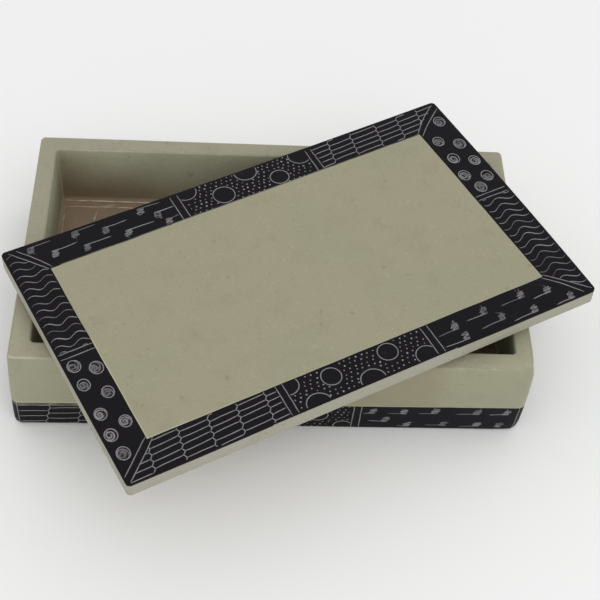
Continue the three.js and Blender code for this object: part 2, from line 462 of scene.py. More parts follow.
class Sheet:
    """A flat sheet, in millimetres, that lines are scratched into before it is laid on the stone."""

    def __init__(self, rng, sizes, limit=(), outline=()):
        self.rng = rng
        self.sizes = sizes
        self.limit = list(limit)
        self.outline = list(outline)
        self.points = []
        self.edges = []
        self.cuts = []
        self.smudges = []
        if outline:
            self.edge_line(self.outline, closed=True)
            self.fill_evenly()

    def fill_evenly(self):
        """Gives the inside of the outline an even mesh, so that it can be rubbed uneven."""
        xs, ys = [p[0] for p in self.outline], [p[1] for p in self.outline]
        margin = FACE_PITCH * 0.6
        for x in np.arange(min(xs) + FACE_PITCH, max(xs) - margin, FACE_PITCH):
            for y in np.arange(min(ys) + FACE_PITCH, max(ys) - margin, FACE_PITCH):
                self.points.append((float(x), float(y)))

    def edge_line(self, points, closed=False):
        """Makes the sheet's mesh follow a line."""
        first = len(self.points)
        self.points += points
        count = len(points)
        self.edges += [(first + i, first + i + 1) for i in range(count - 1)]
        if closed:
            self.edges.append((first + count - 1, first))

    def scratch(
        self, points, outline=None, width=None, reach=0.07, taper=(0.6, 1, 0.6), nib=0.0, faint=False
    ):
        """Scratches what of a line lies inside an outline and inside the sheet's limit.

        taper is the line's relative width at its start, middle and end. nib thickens falling strokes.
        """
        width = width or self.sizes.line / MM
        for part in runs_inside(points, outline or self.limit):
            for run in runs_inside(unsteady(part, self.rng, reach), self.limit):
                apart = [p for i, p in enumerate(run) if i == 0 or math.dist(p, run[i - 1]) > 1e-3]
                if len(apart) > 2:
                    self.groove(np.array(apart), width, taper, nib, faint)

    def groove(self, places, width, taper, nib, faint):
        """Cuts a groove along a line."""
        start = self.rng.uniform(0, 500)
        count = len(places)
        ahead = np.gradient(places, axis=0)
        ahead /= np.linalg.norm(ahead, axis=1)[:, None]
        aside = np.stack([-ahead[:, 1], ahead[:, 0]], axis=1)
        gone = np.append(0, np.cumsum(np.linalg.norm(np.diff(places, axis=0), axis=1)))
        gone /= gone[-1]
        pressure = np.array([1 + 0.2 * noise.noise(Vector((start + i * 0.13, 3, 7))) for i in range(count)])
        pressure *= np.interp(gone, [0, 0.12, 0.5, 0.88, 1], [taper[0], *([taper[1]] * 3), taper[2]])
        pressure *= 1 - nib * 2 * ahead[:, 0] * ahead[:, 1]
        halves = width / 2 * pressure
        depths = self.sizes.line_depth / MM * np.sqrt(pressure)
        tips = places[0] - ahead[0] * halves[0], places[-1] + ahead[-1] * halves[-1]
        left = places + aside * halves[:, None]
        right = places - aside * halves[:, None]
        outline = [tips[0], *right, tips[1], *left[::-1]]
        self.edge_line([tuple(p) for p in outline], closed=True)
        self.edge_line([tuple(p) for p in places])
        for i in range(count - 1):
            widths_and_depths = halves[i], halves[i + 1], depths[i], depths[i + 1]
            self.cuts.append((places[i], places[i + 1], *widths_and_depths, int(faint)))

    def dot(self, x, y):
        """Pecks a round dot."""
        sides, turn = 7, self.rng.uniform(0, 1)
        half = self.sizes.dot / MM / 2 * self.rng.uniform(0.7, 1.15)
        angles = [2 * math.pi * (i + turn) / sides for i in range(sides)]
        self.edge_line([(x + half * math.cos(a), y + half * math.sin(a)) for a in angles], closed=True)
        self.points.append((x, y))
        middle, depth = np.array((x, y)), self.sizes.line_depth / MM
        self.cuts.append((middle, middle, half, half, depth, depth, int(self.rng.random() < 0.45)))

    def grooves_at(self, places):
        """How deep each place is cut, and how near the middle of a full and of a faint line it is."""
        buckets = defaultdict(list)
        for cut in self.cuts:
            reach = max(cut[2], cut[3])
            low = np.floor(np.minimum(cut[0], cut[1]) - reach).astype(int)
            high = np.floor(np.maximum(cut[0], cut[1]) + reach).astype(int)
            for i in range(low[0], high[0] + 1):
                for j in range(low[1], high[1] + 1):
                    buckets[i, j].append(cut)
        members = defaultdict(list)
        for index, key in enumerate(map(tuple, np.floor(places).astype(int))):
            members[key].append(index)
        depth, nearness = np.zeros(len(places)), np.zeros((2, len(places)))
        for key, indices in members.items():
            here = places[indices]
            for a, b, half_a, half_b, depth_a, depth_b, faint in buckets.get(key, ()):
                run = b - a
                along = np.clip((here - a) @ run / max(run @ run, 1e-12), 0, 1)
                away = np.linalg.norm(here - a - along[:, None] * run, axis=1)
                near = np.clip(1 - away / (half_a + (half_b - half_a) * along), 0, 1)
                cut_depth = near * (depth_a + (depth_b - depth_a) * along)
                depth[indices] = np.maximum(depth[indices], cut_depth)
                nearness[faint, indices] = np.maximum(nearness[faint, indices], near)
        return depth, nearness

    def cut_out(self, kind, line_kind=SCRATCHED):
        """The sheet as triangles: places, corners of each triangle, depths and each triangle's finish."""
        vectors = [Vector(p) for p in self.points]
        verts, _, faces, *_ = delaunay_2d_cdt(vectors, self.edges, [], 1, 1e-5, False)
        places = np.array([tuple(v) for v in verts])
        faces = np.array([f for f in faces if len(f) == 3])
        if self.outline:
            faces = faces[inside_outline(places[faces].mean(axis=1), self.outline)]
        depth, _ = self.grooves_at(places)
        middles = places[faces].mean(axis=1)
        _, (full, faint) = self.grooves_at(middles)
        kinds = np.full(len(faces), kind)
        for x, y, radius in self.smudges:
            kinds[np.hypot(middles[:, 0] - x, middles[:, 1] - y) < radius] = SMUDGED
        kinds[faint > 0.12] = FAINT
        kinds[(full > 0.12) & (full >= faint)] = line_kind
        return places, faces, depth, kinds


# The motifs


def wavy_lines(sheet, outline, across, heights, crest, period, lean=0.0, rise=1.0):
    """Wavy lines one above another, from side to side of an outline."""
    xs = np.arange(across[0], across[1], 0.33)
    for height in heights:
        lift, slip = sheet.rng.uniform(-0.15, 0.15), sheet.rng.uniform(-0.2, 0.2)
        reach = rise * sheet.sizes.wave_height / MM * sheet.rng.uniform(0.85, 1.15)
        phase = 2 * math.pi * (xs - crest - slip) / period
        ys = height + lift + reach * np.cos(phase) + lean * (xs - crest)
        width = sheet.sizes.line / MM * sheet.rng.uniform(0.8, 1.05)
        sheet.scratch(list(zip(xs, ys)), outline, width, reach=0.05, nib=0.3, faint=sheet.rng.random() < 0.4)


def spiral(sheet, x, y):
    """A ring that runs on inwards as a spiral, its turns crowded to one side and smeared."""
    rng = sheet.rng
    radius = sheet.sizes.spiral / MM * rng.uniform(0.96, 1.08)
    turns = rng.uniform(2.5, 2.9)
    start, spin = rng.uniform(0, 2 * math.pi), rng.choice((-1, 1))
    drift_way = rng.uniform(0.95, 1.4) * math.pi
    inner, drift = rng.uniform(0.7, 0.78), rng.uniform(0.14, 0.2)
    points = []
    for turned in np.arange(0, turns, 1 / 24):
        angle = start + spin * 2 * math.pi * turned
        out = radius * np.interp(turned, [0, 1, 1.3, 2.2, 2.9], [1, 0.96, inner, 0.48 * inner, 0.12 * inner])
        away = radius * drift * min(1.0, max(0.0, (turned - 0.9) / 0.4))
        from_x, from_y = away * math.cos(drift_way), away * math.sin(drift_way)
        points.append((x + from_x + 0.88 * out * math.cos(angle), y + from_y + 1.03 * out * math.sin(angle)))
    thin = sheet.sizes.thin_line / MM
    sheet.scratch(points[:26], width=thin * 1.15, reach=0.05, taper=(0.8, 1, 1))
    sheet.scratch(points[25:], width=thin * 1.35, reach=0.08, faint=rng.random() < 0.6)
    away = 1.7 * drift * radius
    middle = x + away * math.cos(drift_way), y + away * math.sin(drift_way)
    sheet.smudges.append((*middle, inner * radius))


def ring(sheet, x, y, radius, outline):
    """A ring, or what of it lies inside the outline."""
    start = sheet.rng.uniform(0, 2 * math.pi)
    wide = sheet.rng.uniform(1.0, 1.07)
    angles = [start + 2 * math.pi * i / 48 for i in range(49)]
    points = [(x + wide * radius * math.cos(a), y + radius * math.sin(a)) for a in angles]
    sheet.scratch(points, outline, taper=(0.9, 1, 0.9))


def dots(sheet, outline, rings, low, high):
    """Rows of pecked dots that leave the rings clear."""
    rng = sheet.rng
    pitch, rise = sheet.sizes.dot_pitch / MM, 0.78 * sheet.sizes.dot_pitch / MM
    for row in range(int((high[1] - low[1]) / rise) + 2):
        for column in range(-1, int((high[0] - low[0]) / pitch) + 2):
            x = low[0] + pitch * (column + 0.42 * (row % 3)) + rng.uniform(-0.22, 0.22)
            y = low[1] + rise * row + 0.3 * math.sin(0.7 * column) + rng.uniform(-0.2, 0.2)
            clear = all(math.hypot(x - rx, y - ry) > radius + 0.62 for rx, ry, radius in rings)
            across = [(x - 0.3, y - 0.3), (x, y), (x + 0.3, y + 0.3)]
            if clear and runs_inside(across, outline) and runs_inside(across, sheet.limit):
                sheet.dot(x, y)


def tick(sheet, x, y, tail, outline, way=1):
    """A tadpole tick: a tapering tail and a scribbled head. way is 1 with the head above its right end."""
    rng = sheet.rng
    drop = rng.uniform(-0.3, 0.4)
    tail_middle = (x - way * tail * 0.45, y + way * rng.uniform(0, 0.25))
    tail_line = curved([(x - way * tail, y + way * drop), tail_middle, (x, y)], 0.5)
    width = sheet.sizes.line / MM * rng.uniform(0.85, 1.15)
    faint = rng.random() < 0.35
    sheet.scratch(tail_line, outline, width, reach=0.04, taper=(0.1, 1, 0.7), faint=faint)
    passes, slant = rng.choice((4, 5)), rng.uniform(0.3, 0.7)
    tall, wide, lean = rng.uniform(2.4, 2.9), rng.uniform(2.3, 2.8), rng.uniform(0.2, 0.7)
    head = [(x, y)]
    for i in range(passes + 1):
        up = 0.25 + (tall - 0.5) * i / passes
        spread = 0.65 + 0.35 * math.sin(math.pi * i / passes)
        side = wide / 2 * spread * (-1 if i % 2 else 1) * rng.uniform(0.85, 1.1)
        head.append((x + way * (side + lean * up / tall - HEAD_SHIFT), y + way * (up + 0.4 * slant * side)))
    width = sheet.sizes.thin_line / MM * 0.85
    sheet.scratch(curved(head, 0.3), outline, width, reach=0.1, faint=rng.random() < 0.3)
    for up in (0.7, 1.3, 1.9):
        sheet.smudges.append((x + way * (0.1 + lean * up / tall - HEAD_SHIFT), y + way * up, 0.4 * wide))


def bricks(sheet, outline, low, high, columns, first_row, way, pitch):
    """Long cells with rounded ends, laid like bricks. way is 1 with the ends rounded to the right."""
    rng = sheet.rng
    middle = (low[1] + high[1]) / 2

    def tilted(x, y):
        return x + BRICK_LEAN * (y - middle), y

    edges = [low[0] - 1.5, *columns, high[0] + 1.5]
    if way < 0:
        edges.reverse()
    rows = int((high[1] - low[1]) / pitch) + 6
    heights = [first_row + pitch * (row - 4) + rng.uniform(-0.1, 0.1) for row in range(rows)]
    bulge = 0.0
    for start, end in zip(edges, edges[1:]):
        nodes = []
        for height in heights:
            rise = way * BRICK_RISE + rng.uniform(-0.12, 0.12)
            bend = rng.uniform(-0.14, 0.14)
            first = tilted(start + bulge, height)
            last = tilted(end, height + rise)
            between = ((first[0] + last[0]) / 2, (first[1] + last[1]) / 2 + bend)
            sheet.scratch(curved([first, between, last], 0.6), outline, reach=0.06)
            nodes.append(last)
        if end != edges[-1]:
            bulge = way * BRICK_BULGE
            for lower, upper in zip(nodes, nodes[1:]):
                apex = ((lower[0] + upper[0]) / 2 + bulge * rng.uniform(0.8, 1.15), (lower[1] + upper[1]) / 2)
                sheet.scratch(curved([lower, apex, upper], 0.25), outline, reach=0.05)
        heights = [(lower[1] + upper[1]) / 2 for lower, upper in zip(nodes, nodes[1:])]
        heights.append(heights[-1] + pitch)


def divider(sheet, start, end):
    """A ruled line across a border."""
    sheet.scratch(resampled([start, end], 0.8), reach=0.12)


def crossing(line, y):
    """Where a line, straight on from its first two points, reaches a height."""
    (x0, y0), (x1, y1), *_ = line
    return x0 + (x1 - x0) * (y - y0) / (y1 - y0), y


def rectangle(left, low, right, high):
    """The corners of an upright rectangle, anticlockwise."""
    return [(left, low), (right, low), (right, high), (left, high)]


def clip_side(outline, x, keep_left):
    """An outline cut off by an upright line, on the side kept."""
    kept = []
    for (x0, y0), (x1, y1) in zip(outline, outline[1:] + outline[:1]):
        first_in, second_in = (x0 <= x) == keep_left, (x1 <= x) == keep_left
        if first_in:
            kept.append((x0, y0))
        if first_in != second_in:
            kept.append((x, y0 + (x - x0) / (x1 - x0) * (y1 - y0)))
    return kept


def mark_long_border(
    sheet, outline, dividers, rings, ticks, brick_columns, low, high, brick_row, way, brick_pitch
):
    """The motifs of a long border: bricks, dots with rings, and ticks. way is 1 with the bricks on the left.

    brick_row is the height of one of the bricks' long lines.
    """
    for x in dividers:
        divider(sheet, (x, low), (x + sheet.rng.uniform(-0.25, 0.25), high))
    first, second, third, fourth = dividers
    middle = rectangle(second + 0.25, low, third - 0.25, high)
    for x, y, radius in rings:
        ring(sheet, x, y, radius, middle)
    field = rectangle(second + 0.5, low + 0.3, third - 0.5, high - 0.2)
    dots(sheet, field, rings, (second, low + 0.7), (third, high))
    left, right = min(x for x, _ in outline), max(x for x, _ in outline)
    brick_outline = clip_side(outline, first - 0.15, keep_left=True)
    tick_outline = clip_side(outline, fourth + 0.15, keep_left=False)
    low_corner, high_corner = (left, low), (first, high)
    if way < 0:
        brick_outline, tick_outline = tick_outline, brick_outline
        low_corner, high_corner = (fourth, low), (right, high)
    bricks(sheet, brick_outline, low_corner, high_corner, brick_columns, brick_row, way, brick_pitch)
    for x, y, tail in ticks:
        tick(sheet, x, y, tail, tick_outline, way)


def mark_lid(sheet, reach_x, reach_y):
    """Every motif on the lid's border. reach_x and reach_y lie beyond its edges."""
    for lines in MITRES.values():
        for line in lines:
            start = crossing(line, math.copysign(reach_y, line[0][1]))
            sheet.scratch(curved([start, *line[1:]], 0.8), reach=0.1)
    front_left_corner, front_right_corner, back_right_corner, back_left_corner = PANEL
    (back_left, back_left_in), (back_right, back_right_in) = MITRES["back left"], MITRES["back right"]
    (front_right, front_right_in), (front_left, front_left_in) = MITRES["front right"], MITRES["front left"]
    back = [back_left_in[-1], back_right[-1], crossing(back_right, reach_y), crossing(back_left_in, reach_y)]
    front = [crossing(front_left_in, -reach_y), crossing(front_right, -reach_y)]
    front += [front_right[-1], front_left_in[-1]]
    back_low = min(back_left_corner[1], back_right_corner[1]) + 0.3
    front_high = front_left_corner[1] - 0.2
    back_motifs = BACK_DIVIDERS, BACK_RINGS, BACK_TICKS, BRICK_COLUMNS_BACK
    front_motifs = FRONT_DIVIDERS, FRONT_RINGS, FRONT_TICKS, BRICK_COLUMNS_FRONT
    brick_pitch = sheet.sizes.brick_pitch / MM
    mark_long_border(sheet, back, *back_motifs, back_low, reach_y, BRICK_ROW_BACK, -1, brick_pitch)
    mark_long_border(sheet, front, *front_motifs, -reach_y, front_high, BRICK_ROW_FRONT, 1, brick_pitch)
    left_edge, right_edge = front_left_corner[0] - 0.1, front_right_corner[0] + 0.1
    for y in LEFT_DIVIDERS:
        divider(sheet, (-reach_x, y), (left_edge, y + 0.1))
    for y in RIGHT_DIVIDERS:
        divider(sheet, (right_edge, y), (reach_x, y + 0.1))
    pitch = sheet.sizes.wave_pitch / MM
    base, far = LEFT_DIVIDERS[0] + 0.3, reach_x + 2
    above = [(-far, base), (left_edge, base), back_left[-1]]
    above.append((-far, back_left[0][1] + 1.2 * (far + back_left[0][0])))
    heights = [LEFT_DIVIDERS[0] + 0.1] + [LEFT_DIVIDERS[0] + 2.4 + pitch * i for i in range(15)]
    across = (-reach_x, left_edge + 1)
    wavy_lines(sheet, above, across, heights, crest=-72.6, period=6.5, lean=-0.03, rise=0.78)
    base = RIGHT_DIVIDERS[1] - 0.3
    below = [(far, front_right_in[0][1] - (far - front_right_in[0][0])), (far, base), (right_edge, base)]
    below.append(front_right_in[-1])
    heights = [RIGHT_DIVIDERS[1] + 0.3 - 0.95 * pitch * i for i in range(17)]
    wavy_lines(sheet, below, (right_edge - 1, reach_x), heights, crest=68.3, period=8.1, lean=-0.03)
    for x, y in LEFT_SPIRALS + RIGHT_SPIRALS:
        spiral(sheet, x, y)


def mark_band(sheet, walls, low, high):
    """Every motif on the foot band. walls has each wall's middle along the band, its ends and its way."""
    for middle, start, end, way in walls["long"]:
        outline = rectangle(start, low, end, high)
        for x, lean in ((start, 0.1), (end, -0.1)):
            divider(sheet, (x, low), (x + lean, high))
        mirrored = [(middle + way * x, y, r) for x, y, r in BAND_RINGS]
        tails = [(middle + way * x, y if way > 0 else low + high - y, t) for x, y, t in BAND_TICKS]
        dividers = sorted(middle + way * x for x in BAND_DIVIDERS)
        columns = sorted(middle + way * x for x in BAND_BRICK_COLUMNS)
        pitch = sheet.sizes.band_brick_pitch / MM
        mark_long_border(sheet, outline, dividers, mirrored, tails, columns, low, high, low + 1.2, way, pitch)
    for middle, start, end, way in walls["short"]:
        for x, lean in ((start, 0.1), (end, -0.1)):
            divider(sheet, (x, low), (x + lean, high))
        for x in (-0.9, 0.9):
            divider(sheet, (middle + x, low), (middle + x + 0.2, high))
        for x, y in BAND_SPIRALS:
            spiral(sheet, middle + way * x, y)
        wave = sheet.sizes.wave_pitch / MM
        span = sorted((middle + way * 1.2, middle + way * ((end - start) / 2 - 0.4)))
        upright = rectangle(span[0], low, span[1], high)
        for i in range(int((span[1] - span[0]) / wave)):
            ys = np.arange(low, high, 0.33)
            lift = span[0] + 1.4 + wave * i + sheet.rng.uniform(-0.15, 0.15)
            xs = lift + sheet.sizes.wave_height / MM * np.cos(2 * math.pi * (ys - high) / 6.2)
            sheet.scratch(list(zip(xs, ys)), upright, nib=0.3)


def mark_cavity_floor(sheet, half_length, half_depth):
    """Chisel lines left where the cavity's floor meets its walls, and two stray cuts."""
    rng = sheet.rng
    for side in (-1, 1):
        for away, width, faint, reach in ((0.45, 0.5, False, 0.12), (3.2, 0.45, True, 0.3)):
            y = side * (half_depth - away)
            ends = [(-half_length + rng.uniform(0.4, 1.2), y), (0, y - side * rng.uniform(0, 0.2))]
            ends.append((half_length - rng.uniform(0.4, 1.2), y))
            sheet.scratch(curved(ends, 1.2), width=width, reach=reach, faint=faint)
    x = 0.45 - half_length
    ends = [(x, -half_depth + rng.uniform(0.8, 2)), (x + rng.uniform(0, 0.2), 0)]
    ends.append((x, half_depth - rng.uniform(2.5, 4)))
    sheet.scratch(curved(ends, 1.2), width=0.5, reach=0.15, faint=True)
    corner = (-57.3, 34.9)
    stray = [(corner[0] - 1.2, corner[1] - 6), corner, (corner[0] + 6, corner[1] + 1.2)]
    sheet.scratch(resampled(stray, 0.6), width=0.5, faint=True)
    sheet.scratch(curved([(-20, -28), (-4, -25.5), (9, -26)], 0.8), width=0.4, faint=True)


# Building the stone's mesh


def out_of_square(points, box):
    """The same points as the box came out, its back wall nearer the front at the right end."""
    shifted = []
    for x, y, *z in points:
        towards_back = y / (box.depth / MM) + 0.5
        shifted.append((x, y - box.skew / MM * x / (box.length / MM / 2) * towards_back, *z))
    return shifted


def cavity_skewed(points, box):
    """Points of the cavity, or of the tongue that fits it, as they came out.

    The front side is nearer the front at its right end, and the left side stands in at its front end.
    """
    half_length, width = (box.length / 2 - box.end_wall) / MM, (box.depth - 2 * box.wall) / MM
    skew, left_skew = box.cavity_skew / MM, box.cavity_left_skew / MM
    shifted = []
    for x, y, *z in points:
        towards_right, towards_front = x / half_length, 0.5 - y / width
        inwards = left_skew * (1 - towards_right) / 2 * towards_front
        shifted.append((x + inwards, y - skew * towards_right * towards_front, *z))
    return shifted


class StoneSkin:
    """Gathers patches of a stone's skin, in millimetres, and welds them into one closed mesh."""

    def __init__(self):
        self.verts = []
        self.depths = []
        self.faces = []
        self.finishes = []

    def patch(self, verts, faces, finishes, depths=None):
        """Adds skin as it is before carving. depths is how deep each of its points will be cut."""
        first = len(self.verts)
        self.verts += [tuple(v) for v in verts]
        self.depths += [0.0] * len(verts) if depths is None else depths.tolist()
        self.faces += [tuple(first + i for i in face) for face in faces]
        self.finishes += list(finishes)

    def rings(self, rings, finishes):
        """A skin over closed rings of points, with a finish for each band of faces, or for each face."""
        count = len(rings[0])
        verts = [p for points in rings for p in points]
        faces, kinds = [], []
        for level, finish in enumerate(finishes):
            for i in range(count):
                a, b = level * count + i, level * count + (i + 1) % count
                faces.append((a, b, b + count, a + count))
                kinds.append(finish[i] if isinstance(finish, list) else finish)
        self.patch(verts, faces, kinds)

    def make(self, name, unevenness, seed):
        """The welded piece, rubbed slightly uneven and cut, as an object in metres."""
        mesh = bpy.data.meshes.new(name)
        mesh.from_pydata([tuple(MM * c for c in v) for v in self.verts], [], self.faces)
        used = sorted(set(self.finishes))
        mesh.polygons.foreach_set("material_index", [used.index(finish) for finish in self.finishes])
        stone = bmesh.new()
        stone.from_mesh(mesh)
        cut = stone.verts.layers.float.new("cut")
        for vert, depth in zip(stone.verts, self.depths):
            vert[cut] = MM * depth
        bmesh.ops.remove_doubles(stone, verts=stone.verts, dist=2e-7)
        bmesh.ops.recalc_face_normals(stone, faces=stone.faces)
        open_edges = [e for e in stone.edges if len(e.link_faces) != 2]
        if open_edges:
            where = open_edges[0].verts[0].co / MM
            raise RuntimeError(f"{name} isn't closed: {len(open_edges)} open edges, one at {where}")
        stone.normal_update()
        areas = [face.calc_area() for face in stone.faces]
        stone.faces.index_update()
        shifts = []
        for vert in stone.verts:
            weighted = (face.normal * areas[face.index] for face in vert.link_faces)
            outwards = sum(weighted, Vector()).normalized()
            place = vert.co * 28 + Vector((seed, 0, 0))
            rise = 0.7 * noise.noise(place) + 0.3 * noise.noise(place * 3.1)
            shifts.append(outwards * (unevenness * (rise - 1) - vert[cut]))
        for vert, shift in zip(stone.verts, shifts):
            vert.co += shift
        stone.verts.layers.float.remove(cut)
        stone.to_mesh(mesh)
        stone.free()
        mesh.set_sharp_from_angle(angle=SMOOTH_ANGLE)
        for finish in used:
            mesh.materials.append(stone_finish(finish))
        piece = bpy.data.objects.new(name, mesh)
        bpy.context.scene.collection.objects.link(piece)
        return piece


def rounded_rectangle(length, depth, radius, bows=(0.0, 0.0, 0.0, 0.0)):
    """Points round a rectangle with round corners, anticlockwise from the foot of its right side.

    bows is how far the right, back, left and front sides bow out in the middle.
    """
    radius = max(radius, SHARP_CORNER)
    x, y = length / 2 - radius, depth / 2 - radius
    corners = [(x, -y, -90), (x, y, 0), (-x, y, 90), (-x, -y, 180)]
    steps = [SHORT_SIDE_STEPS, LONG_SIDE_STEPS] * 2
    points = []
    for corner, (cx, cy, start) in enumerate(corners):
        for step in range(CORNER_STEPS + 1):
            angle = math.radians(start + 90 * step / CORNER_STEPS)
            points.append((cx + radius * math.cos(angle), cy + radius * math.sin(angle)))
        out = math.radians(start + 90)
        out_x, out_y = math.cos(out), math.sin(out)
        nx, ny, _ = corners[(corner + 1) % 4]
        begin, end = points[-1], (nx + radius * out_x, ny + radius * out_y)
        for step in range(1, steps[corner]):
            t = step / steps[corner]
            push = 4 * t * (1 - t) * bows[corner]
            along_x, along_y = begin[0] + (end[0] - begin[0]) * t, begin[1] + (end[1] - begin[1]) * t
            points.append((along_x + out_x * push, along_y + out_y * push))
    return points


def at_height(points, z):
    """A level ring of points."""
    return [(x, y, z) for x, y in points]


def quarter_round(starts_level):
    """The steps of a quarter circle, as the shares of its radius gone across and gone up."""
    steps = []
    for i in range(EDGE_STEPS + 1):
        angle = math.pi / 2 * i / EDGE_STEPS
        sine, cosine = math.sin(angle), math.cos(angle)
        steps.append((sine, 1 - cosine) if starts_level else (1 - cosine, sine))
    return steps


def wall_profile(box):
    """The box's outer face in steps from foot to rim: inset, height and length gone up the face."""
    foot, rim, height = box.foot_radius / MM, box.rim_radius / MM, box.height / MM
    steps = [(foot * (1 - across), foot * up) for across, up in quarter_round(True)]
    wall_top = height - rim
    for i in range(1, WALL_STEPS):
        t = i / WALL_STEPS
        steps.append((-box.swell / MM * math.sin(math.pi * t), foot + (wall_top - foot) * t))
    steps += [(rim * across, wall_top + rim * up) for across, up in quarter_round(False)]
    gone, profile = 0.0, []
    for i, (inset, z) in enumerate(steps):
        if i:
            gone += math.dist(steps[i - 1], (inset, z))
        profile.append((inset, z, gone))
    return profile


def outer_ring(box, inset, z):
    """A ring of the box's outer face, from the middle of its front right corner.

    Towards the foot its corners get rounder and its left end reaches further out.
    Towards the rim its front reaches further out at the right end, and its right side stands in at
    the back.
    The front right corner is worn round at the rim and at the foot.
    """
    length, depth, height = box.length / MM, box.depth / MM, box.height / MM
    downwards = 1 - z / height
    near_end = max(0.0, 1 - (height - z) / WORN_CORNER_HEIGHT, 0.75 * (1 - z / WORN_CORNER_HEIGHT))
    radius = (box.corner_radius + (box.foot_corner - box.corner_radius) * downwards) / MM
    points = rounded_rectangle(length - 2 * inset, depth - 2 * inset, radius - inset)
    middle = CORNER_STEPS // 2
    ring_points = []
    for x, y in points[middle:] + points[:middle]:
        towards_right, towards_front = 0.5 + x / length, 0.5 - y / depth
        left = box.left_reach / MM * downwards * (1 - towards_right)
        left += box.right_skew / MM * (1 - downwards) * towards_right * (1 - towards_front)
        forward = box.front_right_reach / MM * (1 - downwards) * towards_right * towards_front
        near_corner = max(0.0, 1 - math.hypot(length / 2 - x, depth / 2 + y) / WORN_CORNER_REACH)
        worn = box.corner_wear / MM * (near_end * near_corner) ** 2
        ring_points.append((x - left - worn, y - forward + worn, z))
    return ring_points


def cavity_ring(box, inset):
    """A ring of the cavity's face."""
    length, depth = (box.length - 2 * box.end_wall) / MM, (box.depth - 2 * box.wall) / MM
    corner = box.cavity_corner_radius / MM
    return cavity_skewed(rounded_rectangle(length - 2 * inset, depth - 2 * inset, corner - inset), box)


def lay_round_walls(sheet, box, profile, levels):
    """Lays a sheet round the box's walls. Its x runs along the walls and its y up the face.

    Nothing is cut above the dyed band.
    """
    rings = np.array([outer_ring(box, inset, z) for inset, z, _ in profile[: levels + 1]])
    rings = np.concatenate([rings, rings[:, :1]], axis=1)
    places, faces, depth, kinds = sheet.cut_out(DYED)
    depth[places[:, 1] > band_top(box, places[:, 0]) - 0.02] = 0
    along = wall_stations(box)
    up = np.array([gone for *_, gone in profile[: levels + 1]])
    column = np.clip(np.searchsorted(along, places[:, 0], "right") - 1, 0, len(along) - 2)
    row = np.clip(np.searchsorted(up, places[:, 1], "right") - 1, 0, len(up) - 2)
    s = ((places[:, 0] - along[column]) / (along[column + 1] - along[column]))[:, None]
    t = ((places[:, 1] - up[row]) / (up[row + 1] - up[row]))[:, None]
    a, b = rings[row, column], rings[row, column + 1]
    c, d = rings[row + 1, column], rings[row + 1, column + 1]
    laid = (a * (1 - s) + b * s) * (1 - t) + (c * (1 - s) + d * s) * t
    return laid, faces, kinds, places, depth


def wall_stations(box):
    """How far along the walls each point of a ring is, at the foot of the upright face."""
    ring_points = outer_ring(box, 0.0, box.foot_radius / MM)
    stations = [0.0]
    for a, b in zip(ring_points, ring_points[1:] + ring_points[:1]):
        stations.append(stations[-1] + math.dist(a, b))
    return np.array(stations)


def wall_ends(box):
    """How far along the walls each upright corner is, from the front right one round to it again."""
    short, long = SHORT_SIDE_STEPS + CORNER_STEPS, LONG_SIDE_STEPS + CORNER_STEPS
    return wall_stations(box)[np.cumsum([0, short, long, short, long])]


def band_top(box, along):
    """How far up the face the dye goes, at a place along the walls."""
    rise = (math.pi / 2 - 1) * box.foot_radius / MM
    front_right, front_left = box.band_top_right / MM, box.band_top_left / MM
    heights = [front_right, front_right - 0.8, front_left + 0.6, front_left, front_right]
    line = np.interp(along, wall_ends(box), heights)
    wander = np.array([0.12 * noise.noise(Vector((x / 9, 1, 4))) for x in np.atleast_1d(along)])
    return line + rise + wander


def thinned_strip(box, along):
    """How far down from its top the dye is rubbed thin, at a place along the walls."""
    thinned = box.band_thinned / MM
    _, _, _, front_left, front_right = wall_ends(box)
    long = front_right - front_left
    places = [front_left - 0.2 * long, front_left, front_left + 0.15 * long, front_left + 0.55 * long]
    widths = np.interp(along, places, [0, thinned, 1.1 * thinned, 0])
    wander = np.array([noise.noise(Vector((x / 7, 6, 2))) for x in np.atleast_1d(along)])
    return widths * (1 + 0.25 * wander)


# Looks of the surfaces


